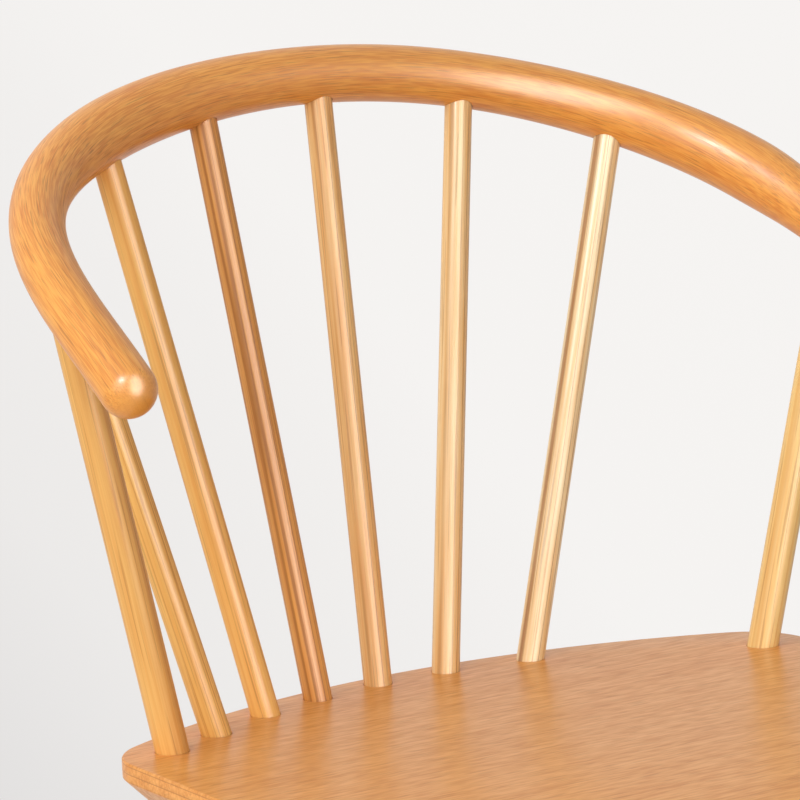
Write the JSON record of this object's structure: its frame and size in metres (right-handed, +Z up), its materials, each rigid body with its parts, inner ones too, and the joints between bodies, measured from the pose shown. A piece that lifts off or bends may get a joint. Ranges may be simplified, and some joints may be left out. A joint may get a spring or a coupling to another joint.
{
  "type": "wooden armchair",
  "caption": "Low-backed wooden chair: a flat seat, a bent bow that makes the back rail and both arms, round spindles between them, and splayed legs tied by stretchers.",
  "frame": {"origin": "on the floor, under the middle of the chair's bounding box", "axes": "+Z up; the front of the chair faces -Y; left and right are as seen from the front, so the left side is at -X"},
  "size_m": [0.5898, 0.5384, 0.838],
  "materials": {
    "seat_wood": "satin lacquer",
    "bow_wood": "satin lacquer",
    "spindle_wood": "satin lacquer",
    "leg_wood": "satin lacquer",
    "glide_plastic": "matte"
  },
  "bodies": {
    "root": {"seat": "seat_wood", "arm_bow": "bow_wood", "arm_post_left": "spindle_wood", "arm_post_right": "spindle_wood", "back_spindle_1": "spindle_wood", "back_spindle_2": "spindle_wood", "back_spindle_3": "spindle_wood", "back_spindle_4": "spindle_wood", "back_spindle_5": "spindle_wood", "back_spindle_6": "spindle_wood", "front_leg_left": "leg_wood", "front_leg_right": "leg_wood", "rear_leg_left": "leg_wood", "rear_leg_right": "leg_wood", "side_stretcher_left": "leg_wood", "side_stretcher_right": "leg_wood", "cross_stretcher": "leg_wood", "front_glide_left": "glide_plastic", "front_glide_right": "glide_plastic", "rear_glide_left": "glide_plastic", "rear_glide_right": "glide_plastic"}
  },
  "joints": []
}
